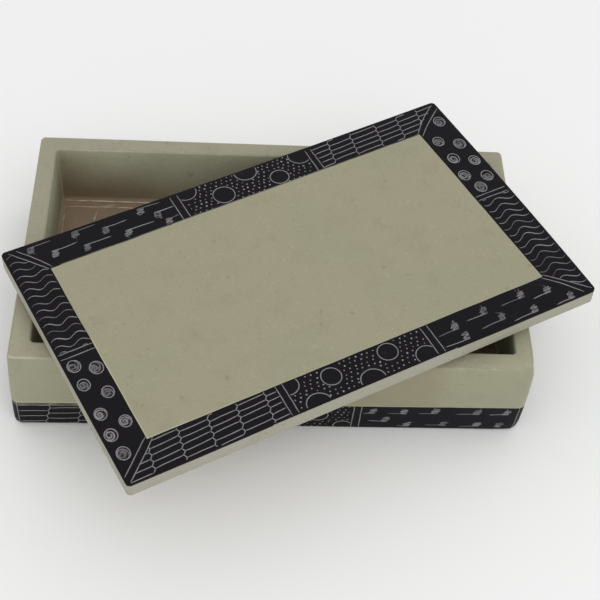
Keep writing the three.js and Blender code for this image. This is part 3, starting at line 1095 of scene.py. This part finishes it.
class Shader:
    """A material's nodes, added one by one."""

    def __init__(self, name):
        self.material = bpy.data.materials.new(name)
        self.material.use_nodes = True
        self.tree = self.material.node_tree
        self.surface = self.tree.nodes["Principled BSDF"]
        self.places = self.node("ShaderNodeTexCoord").outputs["Object"]

    def node(self, kind, **inputs):
        made = self.tree.nodes.new(kind)
        for name, value in inputs.items():
            self.feed(made.inputs[name.replace("_", " ")], value)
        return made

    def feed(self, socket, value):
        if isinstance(value, bpy.types.NodeSocket):
            self.tree.links.new(value, socket)
        elif hasattr(value, "__len__") and len(value) == 3 and socket.type == "RGBA":
            socket.default_value = (*value, 1)
        else:
            socket.default_value = value

    def noise(self, scale, detail=2.0, roughness=0.5, distortion=0.0, stretch=None):
        """Cloudy noise. scale is in features a metre, and stretch draws it out along an axis."""
        places = self.places
        if stretch:
            mapping = self.node("ShaderNodeMapping", Vector=self.places)
            mapping.inputs["Scale"].default_value = stretch
            places = mapping.outputs[0]
        made = self.node("ShaderNodeTexNoise", Vector=places, Scale=scale, Detail=detail)
        made.inputs["Roughness"].default_value = roughness
        made.inputs["Distortion"].default_value = distortion
        return made.outputs["Fac"]

    def between(self, value, low, high, out_low=0.0, out_high=1.0):
        """Stretches the part of a value from low to high over a new range."""
        made = self.node("ShaderNodeMapRange", Value=value)
        made.interpolation_type = "SMOOTHSTEP"
        ends = {"From Min": low, "From Max": high, "To Min": out_low, "To Max": out_high}
        for name, number in ends.items():
            made.inputs[name].default_value = number
        return made.outputs["Result"]

    def mix(self, factor, first, second, blend="MIX"):
        made = self.node("ShaderNodeMix")
        made.data_type = "RGBA"
        made.blend_type = blend
        self.feed(made.inputs["Factor"], factor)
        self.feed(made.inputs[6], first)
        self.feed(made.inputs[7], second)
        return made.outputs[2]

    def places_along(self, axis):
        """How far along an axis a place is, in metres."""
        return self.node("ShaderNodeSeparateXYZ", Vector=self.places).outputs[axis]

    def combine(self, operation, first, second):
        made = self.node("ShaderNodeMath")
        made.operation = operation
        self.feed(made.inputs[0], first)
        self.feed(made.inputs[1], second)
        return made.outputs[0]

    def times(self, first, second):
        return self.combine("MULTIPLY", first, second)

    def sum(self, first, second, first_share=1.0, second_share=1.0):
        return self.combine("ADD", self.times(first, first_share), self.times(second, second_share))

    def finish(self, colour, roughness, height, strength, distance, shine):
        """Joins colour, roughness and bump to the surface."""
        bump = self.node("ShaderNodeBump", Height=height)
        bump.inputs["Strength"].default_value = strength
        bump.inputs["Distance"].default_value = distance
        self.feed(self.surface.inputs["Base Color"], colour)
        self.feed(self.surface.inputs["Roughness"], roughness)
        self.feed(self.surface.inputs["Normal"], bump.outputs["Normal"])
        self.surface.inputs["Specular IOR Level"].default_value = shine
        return self.material


def stone_colour(shader, looks, base, greenness=0.5, grit=0.4):
    """Cloudy olive stone with greener patches, fine dark grains and pale flecks."""
    darker = shader.mix(1.0, base, (0.86, 0.86, 0.86), "MULTIPLY")
    pale = shader.mix(1.0, base, (1.18, 1.18, 1.18), "MULTIPLY")
    clouds = shader.between(shader.noise(17, 3, 0.55, 0.4), 0.38, 0.66, 0.0, greenness)
    grain = shader.noise(1500, 2, 0.7)
    colour_now = shader.mix(clouds, base, tuple(looks.green))
    mottle = shader.between(shader.noise(130, 3, 0.6), 0.5, 0.72, 0.0, 0.45)
    colour_now = shader.mix(mottle, colour_now, darker)
    colour_now = shader.mix(shader.between(grain, 0.55, 0.8, 0.0, grit), colour_now, tuple(looks.dark))
    flecks = shader.between(shader.noise(420, 1, 0.4), 0.70, 0.78, 0.0, 0.28)
    colour_now = shader.mix(flecks, colour_now, tuple(looks.dark))
    specks = shader.between(shader.noise(700, 1, 0.5), 0.62, 0.78, 0.0, grit)
    return shader.mix(specks, colour_now, pale), grain


def rubbed_stone(shader, looks, base, greenness=0.5, grit=0.4):
    """Soapstone rubbed to a satin."""
    base, grain = stone_colour(shader, looks, base, greenness, grit)
    rough = shader.sum(shader.noise(90, 3, 0.6), 1.0, 0.22, looks.roughness - 0.11)
    marks = shader.noise(260, 2, 0.5, 0.0, (1.0, 6.0, 6.0))
    return shader.finish(base, rough, shader.sum(grain, marks, 0.5, 0.5), 0.22, FINE, 0.32)


def top_stone(shader, looks):
    """The lid's rubbed top."""
    return rubbed_stone(shader, looks, tuple(looks.top), 0.5, 0.45)


def wall_colour(shader, looks):
    """The walls' colour, browner in a patch across the middle and right of the front wall."""
    along, across = shader.places_along("X"), shader.places_along("Y")
    # Browner on the front face, from about 2 cm left of the middle to a wandering edge about 5 cm right of
    # it.
    patch = shader.between(shader.sum(along, shader.noise(70, 3, 0.6), 1.0, 0.006), 0.057, 0.047)
    patch = shader.times(patch, shader.between(along, -0.045, -0.02))
    patch = shader.times(patch, shader.between(across, -0.040, -0.043))
    return shader.mix(patch, tuple(looks.wall), tuple(looks.wall_brown))


def wall_stone(shader, looks):
    """The box's rubbed walls, greener and smoother."""
    return rubbed_stone(shader, looks, wall_colour(shader, looks), 0.4, 0.25)


def rim_stone(shader, looks):
    """The box's rim, sandier and more speckled, with painted light that makes its front corners paler."""
    along, across = shader.places_along("X"), shader.places_along("Y")
    # Painted light in the rim's front corners, stronger at the right end.
    corners = shader.sum(shader.between(along, 0.03, 0.05), shader.between(along, -0.05, -0.065, 0.0, 0.7))
    pale = shader.times(corners, shader.between(across, -0.015, -0.035))
    return rubbed_stone(shader, looks, shader.mix(pale, tuple(looks.rim), tuple(looks.rim_painted_light)), 0.35, 0.5)


def worn_and_highlit_stone(shader, looks):
    """Pale edges in the walls' colour, paler in places along the front: there it is painted highlight on the
    rim's front edge, and the pale line along the top of the dye band.
    """
    along, across = shader.places_along("X"), shader.places_along("Y")
    # Painted highlight: pale patches along the front, strongest towards the right end, where the rim's edge
    # catches the light.
    patchy = shader.between(shader.noise(140, 4, 0.65), 0.42, 0.66, 0.0, 0.6)
    crisp = shader.between(along, 0.0, -0.03, 0.0, 0.6)
    worn = shader.times(shader.sum(patchy, crisp), shader.between(across, -0.0425, -0.0440))
    base = shader.mix(worn, tuple(looks.wall), tuple(looks.worn))
    return shader.finish(base, 0.6, shader.noise(1500, 2, 0.7), 0.25, FINE, 0.3)


def filed_stone(shader, looks):
    """Paler stone with fine file marks, on the lid's sides."""
    base, grain = stone_colour(shader, looks, tuple(looks.filed), 0.15, 0.3)
    marks = shader.noise(200, 2, 0.5, 0.3, (1.0, 1.0, 8.0))
    return shader.finish(base, 0.7, shader.sum(grain, marks, 0.5, 0.5), 0.3, FINE, 0.2)


def shaded_inner_stone(shader, looks):
    """The cavity's walls, with painted light and shade: paler at the top, browner and darker towards their
    foot and the lower left, with less of the painted shade on the left wall.
    """
    base, grain = stone_colour(shader, looks, tuple(looks.inner), 0.5, 0.4)
    # Painted shade: darker and browner towards the walls' foot and towards their left end, where a shadow
    # falls.
    patches = shader.sum(shader.places_along("Z"), shader.noise(60, 3, 0.6), 1.0, 0.008)
    patches = shader.sum(patches, shader.places_along("X"), 1.0, 0.28)
    upward = shader.between(patches, -0.004, 0.022)
    # The left wall gets less of the painted shade.
    on_left_wall = shader.between(shader.places_along("X"), -0.0690, -0.0695)
    upward = shader.sum(upward, on_left_wall, 1.0, 0.45)
    low, _ = stone_colour(shader, looks, tuple(looks.inner_shaded), 0.0, 0.5)
    strokes = shader.noise(150, 2, 0.5, 0.4, (5.0, 5.0, 1.0))
    rough = shader.sum(strokes, 1.0, 0.2, looks.roughness)
    height = shader.sum(grain, strokes, 0.4, 0.6)
    return shader.finish(shader.mix(upward, low, base), rough, height, 0.3, COARSE, 0.22)


def chiselled_stone(shader, looks):
    """Warmer stone on the cavity's floor, left from the chisel."""
    base, grain = stone_colour(shader, looks, tuple(looks.chiselled), 0.0, 0.5)
    strokes = shader.noise(120, 2, 0.5, 0.6, (1.0, 5.0, 5.0))
    rough = shader.sum(strokes, 1.0, 0.2, looks.roughness)
    return shader.finish(base, rough, shader.sum(grain, strokes, 0.35, 0.65), 0.35, COARSE, 0.2)


def blotched(shader, first, second, blotches, span, grain, roughness, shine, strength=0.3):
    """Two colours in blotches, with a fine grain as bump.

    span is the part of the blotches' noise that runs from the first colour to the second, and
    the range that it is stretched over.
    """
    base = shader.mix(shader.between(blotches, *span), tuple(first), tuple(second))
    return shader.finish(base, roughness, shader.noise(*grain), strength, FINE, shine)


def scored_stone(shader, looks, span=(0.42, 0.7)):
    """Fresh pale stone in a chisel line, and painted highlight where the lines along the walls' foot catch
    the light.
    """
    blotches = shader.noise(160, 3, 0.6)
    return blotched(shader, looks.score_highlight, looks.chiselled, blotches, span, (1800, 2, 0.6), 0.8, 0.15)


def faint_scored_stone(shader, looks):
    """A chisel line that barely cut."""
    return scored_stone(shader, looks, (0.35, 0.6, 0.35, 1.0))


def dyed_stone(shader, looks):
    """Black dye soaked into the stone, thinned here and there by rubbing."""
    streaks = shader.noise(55, 4, 0.6, 0.5, (1.0, 2.5, 2.5))
    speckle = shader.noise(1300, 2, 0.7)
    thin = shader.between(shader.sum(streaks, speckle, 0.6, 0.4), 0.54, 0.78, 0.0, 0.8)
    base = shader.mix(thin, tuple(looks.dye), tuple(looks.dye_worn))
    rough = shader.sum(streaks, 1.0, 0.25, looks.dye_roughness - 0.12)
    return shader.finish(base, rough, shader.sum(speckle, streaks, 0.6, 0.4), 0.2, FINE, 0.08)


def thinned_stone(shader, looks):
    """Dye rubbed so thin that the stone shows through it."""
    streaks = shader.noise(240, 3, 0.6, 0.3, (1.0, 3.0, 3.0))
    colours = looks.thinned_dark, looks.thinned
    return blotched(shader, *colours, streaks, (0.35, 0.65), (1300, 2, 0.7), 0.6, 0.15, 0.2)


def scratched_stone(shader, looks):
    """Pale stone powder in a scratch, fainter where the point barely cut."""
    blotches = shader.noise(330, 3, 0.65)
    span = (0.5, 0.78, 0.0, 0.75)
    return blotched(shader, looks.scratch, looks.faint, blotches, span, (2500, 2, 0.6), 0.85, 0.1)


def faint_stone(shader, looks):
    """A scratch that barely cut the dye."""
    blotches = shader.noise(500, 3, 0.65)
    return blotched(shader, looks.faint, looks.smudge, blotches, (0.45, 0.75), (2500, 2, 0.6), 0.85, 0.1)


def smudged_stone(shader, looks):
    """Stone powder smeared over the dye between the lines of a scribble."""
    blotches = shader.noise(900, 3, 0.6)
    return blotched(shader, looks.dye, looks.smudge, blotches, (0.35, 0.65), (1500, 2, 0.6), 0.8, 0.08)


def stone_finish(finish):
    """The material of a finish, made once."""
    names_and_makers = {
        TOP: ("rubbed lid top", top_stone),
        WALL: ("rubbed wall", wall_stone),
        RIM: ("sandy rim", rim_stone),
        WORN_AND_HIGHLIT: ("worn and highlit edge", worn_and_highlit_stone),
        FILED: ("filed side", filed_stone),
        INNER: ("inner wall", shaded_inner_stone),
        CHISELLED: ("chiselled floor", chiselled_stone),
        SCORED: ("scored line", scored_stone),
        SCORED_FAINT: ("faint scored line", faint_scored_stone),
        DYED: ("black dye", dyed_stone),
        THINNED: ("thinned dye", thinned_stone),
        SCRATCHED: ("scratch", scratched_stone),
        FAINT: ("faint scratch", faint_stone),
        SMUDGED: ("smudge", smudged_stone),
    }
    name, maker = names_and_makers[finish]
    return bpy.data.materials.get(name) or maker(Shader(name), bpy.context.scene.box_stone_looks)


class JEWELRYBOX_OT_carve_box(bpy.types.Operator):
    """Carve the hollowed block, with its dyed and scratched foot band"""

    bl_idname = "jewelrybox.carve_box"
    bl_label = "Carve Box"

    def execute(self, context):
        box, carving = context.scene.box_sizes, context.scene.box_carving
        rng = random.Random(5)
        skin = StoneSkin()
        profile = wall_profile(box)
        upright = [i for i, (_, z, _) in enumerate(profile) if z < box.band_top_right / MM + 2]
        levels = upright[-1] + 1
        self.lay_band(box, carving, rng, skin, profile, levels)
        self.lay_rest(box, carving, rng, skin, profile, levels)
        skin.verts = out_of_square(skin.verts, box)
        piece = skin.make("carved_box", carving.unevenness, 3.0)
        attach(piece, "box")
        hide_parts("box_body")
        return {"FINISHED"}

    def lay_band(self, box, carving, rng, skin, profile, levels):
        """The lower part of the walls, with the band."""
        stations = wall_stations(box)
        sheet = Sheet(rng, carving, rectangle(0.2, 0.2, stations[-1] - 0.2, profile[levels][2]))
        up = [gone for *_, gone in profile[: levels + 1]]
        for x in stations:
            sheet.edge_line([(float(x), y) for y in up])
        for y in up:
            sheet.edge_line([(float(x), y) for x in stations])
        fine = np.arange(0, stations[-1], 1.5)
        dye_edge = np.append(fine, stations[-1])
        heights = band_top(box, dye_edge)
        heights[-1] = heights[0]
        for lift in (0.0, WORN_LINE):
            sheet.edge_line([(float(x), float(y) + lift) for x, y in zip(dye_edge, heights)])
        strips = thinned_strip(box, dye_edge)
        edge_and_strips = zip(dye_edge, heights, strips)
        sheet.edge_line([(float(x), float(y - s)) for x, y, s in edge_and_strips if s > THINNEST_STRIP])
        ends = wall_ends(box)
        right, back, left, front = (ends[1:] + ends[:-1]) / 2
        off_middle = box.left_reach / MM / 2 * (1 - box.foot_radius / box.height)
        inset = 1.25
        walls = {
            "long": [
                (front + off_middle, ends[3] + inset, ends[4] - inset, 1),
                (back - off_middle, ends[1] + inset, ends[2] - inset, 1),
            ],
            "short": [
                (right, ends[0] + inset, ends[1] - inset, 1),
                (left, ends[2] + inset, ends[3] - inset, 1),
            ],
        }
        low, high = 1.3, float(max(heights))
        mark_band(sheet, walls, low, high)
        laid, faces, kinds, places, depth = lay_round_walls(sheet, box, profile, levels)
        middles = places[faces].mean(axis=1)
        above = middles[:, 1] - band_top(box, middles[:, 0])
        strips = thinned_strip(box, middles[:, 0])
        thin = (kinds == DYED) & (strips > THINNEST_STRIP) & (above > -strips)
        kinds = np.where(thin, THINNED, kinds)
        kinds = np.where(above < 0, kinds, np.where(above < WORN_LINE, WORN_AND_HIGHLIT, WALL))
        skin.patch(laid, faces, kinds.tolist(), depth)

    def lay_rest(self, box, carving, rng, skin, profile, levels):
        """The upper walls, rim, cavity and foot."""
        height, rim = box.height / MM, box.rim_radius / MM
        floor, cove = (box.height - box.cavity_depth) / MM, box.cove_radius / MM
        rings = [outer_ring(box, inset, z) for inset, z, _ in profile[levels:]]
        # The top bands of the outer face take the worn finish, which paints the rim edge's highlight on the
        # front.
        kinds = [WALL] * (len(rings) - 1 - EDGE_STEPS // 2) + [WORN_AND_HIGHLIT] * (EDGE_STEPS // 2) + [RIM]
        for across, up in quarter_round(True):
            rings.append(at_height(cavity_ring(box, -rim * (1 - across)), height - rim * up))
        kinds += [RIM] * (EDGE_STEPS // 2)
        for i in range(1, CAVITY_STEPS):
            z = height - rim + (floor + cove - height + rim) * i / CAVITY_STEPS
            rings.append(at_height(cavity_ring(box, 0.0), z))
        kinds += [INNER] * (len(rings) - 1 - len(kinds))
        for across, up in quarter_round(False):
            rings.append(at_height(cavity_ring(box, cove * across), floor + cove * (1 - up)))
        skin.rings(rings, kinds + [INNER] * (len(rings) - 2 - len(kinds)) + [CHISELLED])
        half_length = (box.length / 2 - box.end_wall) / MM - cove
        half_depth = (box.depth / 2 - box.wall) / MM - cove
        corner = box.cavity_corner_radius / MM - cove
        floor_outline = rounded_rectangle(2 * half_length, 2 * half_depth, corner)
        limit = rectangle(0.3 - half_length, 0.3 - half_depth, half_length - 0.3, half_depth - 0.3)
        sheet = Sheet(rng, carving, limit, floor_outline)
        mark_cavity_floor(sheet, half_length, half_depth)
        # The floor's lines take the scored finish; along the walls' foot its pale colour paints the cove
        # edge's highlight.
        places, faces, depth, kinds = sheet.cut_out(CHISELLED, SCORED)
        kinds[kinds == FAINT] = SCORED_FAINT
        skin.patch(cavity_skewed(at_height(places, floor), box), faces, kinds.tolist(), depth)
        foot_outline = [(x, y) for x, y, _ in outer_ring(box, profile[0][0], 0.0)]
        places, faces, _, kinds = Sheet(rng, carving, outline=foot_outline).cut_out(WALL)
        skin.patch(at_height(places, 0.0), faces, kinds.tolist())


class JEWELRYBOX_OT_carve_lid(bpy.types.Operator):
    """Carve the lid, with its dyed and scratched border and the tongue underneath"""

    bl_idname = "jewelrybox.carve_lid"
    bl_label = "Carve Lid"

    def execute(self, context):
        scene = context.scene
        box, lid, carving = scene.box_sizes, scene.box_lid_sizes, scene.box_carving
        rng = random.Random(8)
        skin = StoneSkin()
        edge, slab, tongue = lid.edge_radius / MM, lid.slab / MM, lid.tongue_depth / MM
        top = tongue + slab

        def skewed(points):
            skewed_points = []
            for x, y in points:
                towards_right, towards_back = 0.5 + x * MM / lid.length, 0.5 + y * MM / lid.depth
                left = lid.left_skew + (lid.right_skew - lid.left_skew) * towards_right
                back = lid.back_skew * towards_right
                skewed_points.append((x - left / MM * towards_back, y + back / MM * towards_back))
            return skewed_points

        def slab_ring(inset):
            length, depth = lid.length / MM - 2 * inset, lid.depth / MM - 2 * inset
            bow, fullness = lid.side_bow / MM, 0.03
            bows = bow, -bow, fullness, fullness
            return skewed(rounded_rectangle(length, depth, lid.corner_radius / MM - inset, bows))

        def tongue_ring(inset):
            length = (box.length - 2 * box.end_wall - 2 * lid.clearance) / MM - 2 * inset
            depth = (box.depth - 2 * box.wall - 2 * lid.clearance) / MM - 2 * inset
            return rounded_rectangle(length, depth, lid.tongue_radius / MM - inset)

        tongue_edge = 0.3
        levels = [(tongue_edge, 0.0), (0, tongue_edge), (0, tongue / 2), (0, tongue)]
        rings = [at_height(tongue_ring(inset), z) for inset, z in levels]
        rings = [out_of_square(cavity_skewed(ring_points, box), box) for ring_points in rings]
        rings += [at_height(slab_ring(edge * (1 - a)), tongue + edge * u) for a, u in quarter_round(True)]
        rings.append(at_height(slab_ring(0.0), tongue + slab / 2))
        arris = slab_ring(0.0)
        on_front = [y < 1 - lid.depth / MM / 2 for _, y in arris]
        gone = [(abs(x - DRIP_MIDDLE) - DRIP_START) / DRIP_RUN for x, _ in arris]
        towards_corner = [min(1.0, max(0.0, part)) for part in gone]
        drips = [DRIP_LEAST + DRIP_DEPTH * front * part for front, part in zip(on_front, towards_corner)]
        rings.append([(x, y, top - edge - drip) for (x, y), drip in zip(arris, drips)])
        rings += [at_height(slab_ring(edge * a), top - edge * (1 - u)) for a, u in quarter_round(False)]
        rubbed = [FILED if front and part < 0.05 else DYED for front, part in zip(on_front, towards_corner)]
        edge_finishes = [DYED] + [rubbed] * (EDGE_STEPS // 2) + [DYED] * (EDGE_STEPS // 2)
        skin.rings(rings, [TOP] * len(levels) + [FILED] * (EDGE_STEPS + 2) + edge_finishes)
        places, faces, _, kinds = Sheet(rng, carving, outline=tongue_ring(tongue_edge)).cut_out(TOP)
        laid = cavity_skewed(at_height(places, 0.0), box)
        skin.patch(out_of_square(laid, box), faces, kinds.tolist())
        margin = edge + 0.2
        x, y, cut = lid.length / MM / 2 - margin, lid.depth / MM / 2 - margin, 0.7
        bow = lid.side_bow / MM
        front_and_right = [(cut - x, -y), (x - cut, -y), (x, cut - y)]
        front_and_right += [(x + bow - 0.05, 0), (x, y - bow - cut)]
        back_and_left = [(x - cut, y - bow), (cut - x, y - bow), (-x, y - bow - cut), (-x, cut - y)]
        self.lay_top(carving, rng, skin, slab_ring(edge), skewed(front_and_right + back_and_left), top)
        piece = skin.make("carved_lid", carving.unevenness, 40.0)
        rest = Matrix.Translation((lid.shift_right, -lid.shift_forward, box.height + lid.gap))
        piece.data.transform(rest @ Matrix.Rotation(lid.turn, 4, "Z"))
        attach(piece, "lid")
        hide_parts("lid")
        return {"FINISHED"}

    def lay_top(self, carving, rng, skin, outline, limit, top):
        """The top, with its border. limit is how near its edge the lines may go."""
        sheet = Sheet(rng, carving, limit, outline)
        panel_edge = unsteady(resampled([*PANEL, PANEL[0]], 1.5), rng, 0.12, 9.0)[:-1]
        inwards = [(math.copysign(PANEL_EDGE, x), math.copysign(PANEL_EDGE, y)) for x, y in panel_edge]
        panel_inside = [(x - dx, y - dy) for (x, y), (dx, dy) in zip(panel_edge, inwards)]
        for line in (panel_edge, panel_inside):
            sheet.edge_line(line, closed=True)
        strip_edge = [(x, y + PANEL_STRIP) for x, y in panel_edge]
        at_back = [(x, y) for x, y in strip_edge if y - PANEL_STRIP > 30 and abs(x) < PANEL_STRIP_REACH]
        sheet.edge_line(at_back)
        beyond = 1.5
        reach_x, reach_y = max(x for x, _ in outline) + beyond, max(y for _, y in outline) + beyond
        mark_lid(sheet, reach_x, reach_y)
        places, faces, depth, kinds = sheet.cut_out(DYED)
        middles = places[faces].mean(axis=1)
        undyed = np.isin(kinds, (DYED, SMUDGED))
        strip = (kinds == DYED) & (np.abs(middles[:, 0]) < PANEL_STRIP_REACH)
        kinds[strip & inside_outline(middles, strip_edge)] = THINNED
        kinds[undyed & inside_outline(middles, panel_edge)] = WORN_AND_HIGHLIT
        kinds[undyed & inside_outline(middles, panel_inside)] = TOP
        skin.patch(at_height(places, top), faces, kinds.tolist(), depth)


class JEWELRYBOX_OT_set_stage(bpy.types.Operator):
    """Set the floor, the light and the camera"""

    bl_idname = "jewelrybox.set_stage"
    bl_label = "Set Stage"

    def execute(self, context):
        stage = context.scene.box_stage
        self.lay_floor(stage)
        self.hang_lamp(stage)
        self.light_sky(context, stage)
        self.place_camera(context, stage)
        context.scene.view_settings.view_transform = "Standard"
        return {"FINISHED"}

    def lay_floor(self, stage):
        """A wide pale floor that keeps the box's shadow."""
        half = 3.0
        mesh = bpy.data.meshes.new("floor")
        corners = [(-half, -half, 0), (half, -half, 0), (half, half, 0), (-half, half, 0)]
        mesh.from_pydata(corners, [], [(0, 1, 2, 3)])
        shader = Shader("pale floor")
        base = shader.mix(shader.noise(6, 2, 0.5), tuple(stage.floor), tuple(0.99 * c for c in stage.floor))
        shader.finish(base, 0.9, shader.noise(300, 2, 0.5), 0.02, 0.0001, 0.0)
        mesh.materials.append(shader.material)
        floor = bpy.data.objects.new("floor", mesh)
        bpy.context.scene.collection.objects.link(floor)

    def hang_lamp(self, stage):
        """One wide soft lamp, high in front and to the right."""
        lamp = bpy.data.lights.new("soft lamp", "AREA")
        lamp.shape = "DISK"
        lamp.size = 1.1
        lamp.energy = stage.lamp
        hung = bpy.data.objects.new("soft lamp", lamp)
        hung.location = (0.35, -0.8, 1.1)
        aim = Vector((0, 0, 0.02)) - hung.location
        hung.rotation_euler = aim.to_track_quat("-Z", "Y").to_euler()
        bpy.context.scene.collection.objects.link(hung)

    def light_sky(self, context, stage):
        """Even white light from all round, and white behind everything."""
        world = bpy.data.worlds.new("even light")
        world.use_nodes = True
        tree = world.node_tree
        background = tree.nodes["Background"]
        background.inputs["Color"].default_value = (1, 1, 1, 1)
        background.inputs["Strength"].default_value = stage.sky
        white = tree.nodes.new("ShaderNodeBackground")
        white.inputs["Color"].default_value = (1, 1, 1, 1)
        path = tree.nodes.new("ShaderNodeLightPath")
        mixed = tree.nodes.new("ShaderNodeMixShader")
        tree.links.new(path.outputs["Is Camera Ray"], mixed.inputs["Fac"])
        tree.links.new(background.outputs[0], mixed.inputs[1])
        tree.links.new(white.outputs[0], mixed.inputs[2])
        tree.links.new(mixed.outputs[0], tree.nodes["World Output"].inputs["Surface"])
        context.scene.world = world

    def place_camera(self, context, stage):
        """The camera stands in front of the box, looking down at it and tipped a little."""
        place = Vector((-0.00688, -0.27679, 0.33980))
        pitch, yaw, roll = 0.8763, 0.0578, 0.0620
        ahead = Vector((math.sin(yaw) * math.cos(pitch), math.cos(yaw) * math.cos(pitch), -math.sin(pitch)))
        right = Vector((math.cos(yaw), -math.sin(yaw), 0))
        up = right.cross(ahead)
        across = right * math.cos(roll) + up * math.sin(roll)
        upward = up * math.cos(roll) - right * math.sin(roll)
        turned = Matrix((across, upward, -ahead)).transposed()
        data = bpy.data.cameras.new("camera")
        data.sensor_width = 36
        data.lens = stage.lens
        data.clip_start = 0.01
        camera = bpy.data.objects.new("camera", data)
        camera.matrix_world = Matrix.Translation(place) @ turned.to_4x4()
        bpy.context.scene.collection.objects.link(camera)
        context.scene.camera = camera


class JEWELRYBOX_PT_panel(bpy.types.Panel):
    """Lists the steps that build the box"""

    bl_idname = "JEWELRYBOX_PT_panel"
    bl_label = "Jewelry Box"
    bl_space_type = "VIEW_3D"
    bl_region_type = "UI"
    bl_category = "Jewelry Box"

    def draw(self, context):
        for operator in OPERATORS:
            self.layout.operator(operator.bl_idname)
        for group in SETTINGS:
            settings = getattr(context.scene, group)
            column = self.layout.column(align=True)
            for name in settings.bl_rna.properties.keys():
                if name not in ("rna_type", "name"):
                    column.prop(settings, name)


SETTINGS = {
    "box_sizes": BoxSizes,
    "box_lid_sizes": LidSizes,
    "box_carving": CarvingSizes,
    "box_stone_looks": StoneLooks,
    "box_stage": StageLooks,
}
OPERATORS = [JEWELRYBOX_OT_carve_box, JEWELRYBOX_OT_carve_lid, JEWELRYBOX_OT_set_stage]


def register():
    for group in SETTINGS.values():
        bpy.utils.register_class(group)
    for name, group in SETTINGS.items():
        setattr(bpy.types.Scene, name, PointerProperty(type=group))
    for operator in OPERATORS:
        bpy.utils.register_class(operator)
    bpy.utils.register_class(JEWELRYBOX_PT_panel)


def unregister():
    bpy.utils.unregister_class(JEWELRYBOX_PT_panel)
    for operator in reversed(OPERATORS):
        bpy.utils.unregister_class(operator)
    for name in SETTINGS:
        delattr(bpy.types.Scene, name)
    for group in reversed(SETTINGS.values()):
        bpy.utils.unregister_class(group)


def main():
    register()
    bpy.ops.jewelrybox.set_stage()
    bpy.ops.jewelrybox.carve_box()
    bpy.ops.jewelrybox.carve_lid()
    bpy.context.view_layer.update()


if __name__ == "__main__":
    main()
